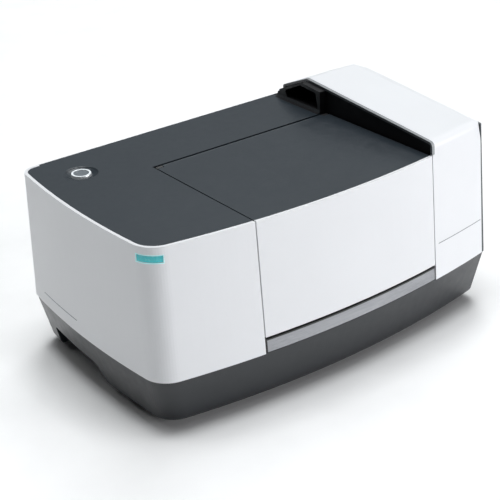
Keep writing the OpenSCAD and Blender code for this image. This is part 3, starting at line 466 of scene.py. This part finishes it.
def dress():
    """Gives every CAD node its finish."""
    shell = plastic("shell_white", WHITE, 0.36, grain=0.10, variation=0.012, specular=0.5)
    deck = plastic("deck_grey", DECK, 0.34, grain=0.30, variation=0.04, specular=0.5)
    black = plastic("moulded_black", BLACK, 0.45, grain=0.35, variation=0.08)
    steel = brushed("ground_steel", STEEL, 0.26, (0.06, 1.0, 1.0))
    anodised = cast("black_anodised", (0.035, 0.036, 0.038), 0.42, 0.5, 0.012, 0.6)
    button_low, button_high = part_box("power_button")
    button_centre = ((button_low.x + button_high.x) / 2, (button_low.y + button_high.y) / 2, 0.0)
    window_low, window_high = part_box("status_window")
    board_low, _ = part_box("main_board")
    _, detector_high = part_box("detector_can")
    detector_parts_y = detector_high.y + 1.8 * MM
    main_parts_z = board_low.z + 7.8 * MM
    finishes = {
        shell: ["left_cover", "lid_front"],
        plastic("tower_white", shade(WHITE, 1.02), 0.36, grain=0.10, variation=0.012): ["tower_cover"],
        deck: ["top_cover", "lid_top"],
        plastic("base_grey", (0.020, 0.0225, 0.026), 0.32, grain=0.10, variation=0.03, specular=0.55):
            ["base_tray"],
        plastic("panel_dark", (0.040, 0.046, 0.052), 0.46, grain=0.34, variation=0.05): ["right_panel"],
        cast("rear_paint", (0.075, 0.080, 0.088), 0.48, 0.9, 0.03, 0.0): ["rear_panel"],
        wall_black_painted_light("wall_black_painted_light"): ["tower_wall"],
        rim_grey_painted_shade("rim_grey_painted_shade"): ["rim_trim"],
        strip_metal("strip_brushed_painted_gap"): ["front_strip"],
        plastic("liner_dark", (0.030, 0.034, 0.038), 0.6, grain=0.45, variation=0.06): ["lid_liner"],
        plastic("tub_black", (0.020, 0.021, 0.023), 0.55, grain=0.5, grain_size=0.7, variation=0.08):
            ["sample_tub"],
        rubber("rubber_black"): ["rubber_feet", "compartment_seal", "bench_isolators"],
        black: ["hinge_brackets", "fan_housing", "fan_rotor", "power_inlet", "button_switch",
                "desiccant_cap"],
        plastic("rocker_black", (0.012, 0.012, 0.013), 0.3, grain=0.12): ["rocker_switch"],
        steel: ["hinge_pins", "sample_holder", "button_spring"],
        brushed("guide_steel", (0.62, 0.63, 0.64), 0.16, (1.0, 0.05, 1.0)): ["guide_rods"],
        brushed("plate_brushed", ALLOY, 0.30, (0.03, 1.0, 1.0)): ["accessory_plate"],
        turned("ring_turned", (0.50, 0.51, 0.53), 0.28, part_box("window_rings")[0], (0.0, 1.0, 1.0)):
            ["window_rings"],
        crystal("window_crystal", (0.93, 0.97, 0.98)): ["window_discs"],
        crystal("splitter_crystal", (0.88, 0.92, 0.96), 0.03): ["beam_splitter"],
        galvanised("sheet_zinc", (0.58, 0.60, 0.61)): ["chassis_plate", "power_supply"],
        cast("bench_cast", (0.52, 0.53, 0.54), 0.42, 1.4, 0.06): ["optical_bench"],
        cast("housing_blasted", (0.47, 0.49, 0.51), 0.36, 0.8, 0.03):
            ["interferometer_housing", "source_housing"],
        brushed("cover_milled", (0.58, 0.59, 0.60), 0.30, (1.0, 0.04, 1.0)):
            ["interferometer_cover", "slide_frame"],
        anodised: ["beam_splitter_mount", "mirror_carriage", "laser_module"],
        mirror("silvered", (0.88, 0.89, 0.90)): ["fixed_mirror", "moving_mirror"],
        mirror("gilded", (0.90, 0.74, 0.42)): ["collimating_mirror", "detector_mirror"],
        winding("coil_copper", (0.72, 0.36, 0.18)): ["drive_coil"],
        turned("yoke_nickel", (0.42, 0.42, 0.41), 0.25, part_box("magnet_yoke")[0], (1.0, 0.0, 1.0)):
            ["magnet_yoke"],
        ceramic("source_ceramic"): ["ir_source"],
        mirror("can_nickel", (0.72, 0.68, 0.56), 0.12): ["detector_can"],
        circuit("detector_circuit", (0.010, 0.085, 0.035), detector_parts_y, 1): ["detector_board"],
        circuit("main_circuit", (0.010, 0.075, 0.035), main_parts_z): ["main_board"],
        circuit("status_circuit", (0.012, 0.080, 0.040)): ["status_board"],
        frosted("canister_frosted", (0.72, 0.76, 0.82)): ["desiccant_cartridge"],
        brushed("port_tinned", (0.62, 0.63, 0.64), 0.24, (1.0, 1.0, 0.06)): ["data_port"],
        turned("fitting_brass", (0.72, 0.52, 0.24), 0.24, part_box("purge_port")[0], (1.0, 0.0, 1.0)):
            ["purge_port"],
        turned("button_satin", (0.155, 0.175, 0.195), 0.40, button_centre, (1.0, 1.0, 0.0), 0.5, 0.2):
            ["power_button"],
        chrome_ring_painted_glow("bezel_chrome_painted_glow"): ["button_bezel"],
        lit_window("window_lit", (0.045, 0.36, 0.39), 0.42, window_low.z, window_high.z): ["status_window"],
        cast("screw_black_zinc", (0.06, 0.06, 0.065), 0.34, 0.4, 0.01, 0.9): ["cover_screws"],
    }
    dressed = set()
    for finish, names in finishes.items():
        for name in names:
            mesh = nodes[name].data
            mesh.materials.clear()
            mesh.materials.append(finish)
            dressed.add(name)
    missing = sorted(set(nodes) - dressed)
    if missing:
        raise RuntimeError(f"no finish for {missing}")


def ease_edges():
    """Small rounded edges, as moulding and machining leave them; the widths are in millimetres."""
    widths = {"left_cover": 0.55, "lid_front": 0.55, "tower_cover": 0.5, "top_cover": 0.45, "lid_top": 0.45,
              "rim_trim": 0.4, "base_tray": 0.4, "tower_wall": 0.35, "front_strip": 0.2, "right_panel": 0.3,
              "button_bezel": 0.3, "power_button": 0.25, "power_inlet": 0.25, "desiccant_cap": 0.3,
              "sample_holder": 0.2, "accessory_plate": 0.3, "lid_liner": 0.2, "sample_tub": 0.3,
              "rocker_switch": 0.2, "rear_panel": 0.15}
    for name, width in widths.items():
        bevel = nodes[name].modifiers.new("eased", "BEVEL")
        bevel.width = width * MM
        bevel.segments = 2
        bevel.limit_method = "ANGLE"
        bevel.angle_limit = math.radians(38.0)
        bevel.use_clamp_overlap = True
        bevel.harden_normals = True


# ---------- Pieces made here ----------

def add_mesh(name, verts, faces, finish, body, smooth=False):
    mesh = bpy.data.meshes.new(name)
    mesh.from_pydata(verts, [], faces)
    mesh.validate()
    mesh.update()
    bm = bmesh.new()
    bm.from_mesh(mesh)
    bmesh.ops.recalc_face_normals(bm, faces=bm.faces)
    bm.to_mesh(mesh)
    bm.free()
    for face in mesh.polygons:
        face.use_smooth = smooth
    mesh.materials.append(finish)
    obj = bpy.data.objects.new(name, mesh)
    scene.collection.objects.link(obj)
    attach(obj, body)
    return obj


def surface_of(name):
    mesh = nodes[name].data
    mesh.calc_loop_triangles()
    return BVHTree.FromPolygons([v.co for v in mesh.vertices], [t.vertices for t in mesh.loop_triangles])


def on_surface(tree, start, direction):
    hit, normal, _, _ = tree.ray_cast(Vector(start), Vector(direction).normalized())
    if hit is None:
        raise RuntimeError(f"nothing to lie on at {tuple(start)}")
    return hit, (normal if normal.dot(Vector(direction)) < 0 else -normal)


def ribbon(name, tree, starts_low, starts_high, direction, lift, finish, body):
    """A thin strip laid on a surface between two rows of rays, raised a little above it."""
    verts = []
    for start in (*starts_low, *starts_high):
        hit, normal = on_surface(tree, start, direction)
        verts += [hit - normal * 0.1 * MM, hit + normal * lift]
    count = len(starts_low)
    faces = []
    for i in range(count - 1):
        a, b = 2 * i, 2 * (i + 1)
        c, d = a + 2 * count, b + 2 * count
        faces += [(a + 1, b + 1, d + 1, c + 1), (a, c, d, b), (a, b, b + 1, a + 1), (c, c + 1, d + 1, d)]
    last, top = 2 * (count - 1), 2 * count
    faces += [(0, 1, top + 1, top), (last, last + top, last + top + 1, last + 1)]
    return add_mesh(name, verts, faces, finish, body)


def make_trim_lines():
    """The plain thin lines low on the left side and low on the front of the tower."""
    finish = plastic("line_grey", (0.20, 0.22, 0.24), 0.45, grain=0.15)
    length, width, lift, steps, outside = 66.0, 0.7, 0.12 * MM, 24, -0.5
    side_start, side_low, side_fall = 88.0, 68.2, 0.002
    front_start, front_low = 121.0, 91.0

    def side_row(z):
        return [(outside, (side_start - length * i / steps) * MM, (z - side_fall * i) * MM)
                for i in range(steps + 1)]

    def front_row(z):
        return [((front_start + length * i / steps) * MM, outside, z * MM) for i in range(steps + 1)]

    ribbon("side_trim_line", surface_of("left_cover"), side_row(side_low), side_row(side_low + width),
           (1, 0, 0), lift, finish, "casing")
    ribbon("front_trim_line", surface_of("tower_cover"), front_row(front_low), front_row(front_low + width),
           (0, 1, 0), lift, finish, "casing")


def make_window_surround():
    """The lit edge of the slot at the front left corner."""
    low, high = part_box("status_window")
    corner_x, corner_y, corner_turn = -178.6 * MM, -86.4 * MM, math.radians(-39.5)
    centre = Vector((corner_x, corner_y, (low.z + high.z) / 2))
    turn = Matrix.Rotation(corner_turn, 3, "Z")
    half_length, half_height = 11.3 * MM, (high.z - low.z) / 2 + 0.4 * MM
    inner, outer, steps, end_steps = 0.06 * MM, 0.6 * MM, 14, 4
    tree = surface_of("left_cover")
    finish = lit_window("surround_lit", (0.45, 0.86, 0.88), 0.28, low.z, high.z)

    def loop(grow):
        a, b = half_length + grow, half_height + grow
        points = [(-a + 2 * a * i / steps, -b) for i in range(steps)]
        points += [(a, -b + 2 * b * i / end_steps) for i in range(end_steps)]
        points += [(a - 2 * a * i / steps, b) for i in range(steps)]
        points += [(-a, b - 2 * b * i / end_steps) for i in range(end_steps)]
        return points

    rings = []
    for grow in (inner, outer):
        ring = []
        for u, v in loop(grow):
            start = centre + turn @ Vector((u, -0.08, 0.0)) + Vector((0, 0, v))
            hit, normal = on_surface(tree, start, turn @ Vector((0, 1, 0)))
            ring.append((hit, normal))
        rings.append(ring)
    verts, faces = [], []
    for ring in rings:
        verts += [hit - normal * 0.15 * MM for hit, normal in ring]
        verts += [hit + normal * 0.1 * MM for hit, normal in ring]
    n = len(rings[0])
    for i in range(n):
        j = (i + 1) % n
        faces += [(n + i, n + j, 3 * n + j, 3 * n + i), (i, 2 * n + i, 2 * n + j, j), (i, j, n + j, n + i),
                  (2 * n + i, 3 * n + i, 3 * n + j, 2 * n + j)]
    add_mesh("window_surround", verts, faces, finish, "casing", smooth=True)


make_camera()
make_studio()
dress()
ease_edges()
make_trim_lines()
make_window_surround()
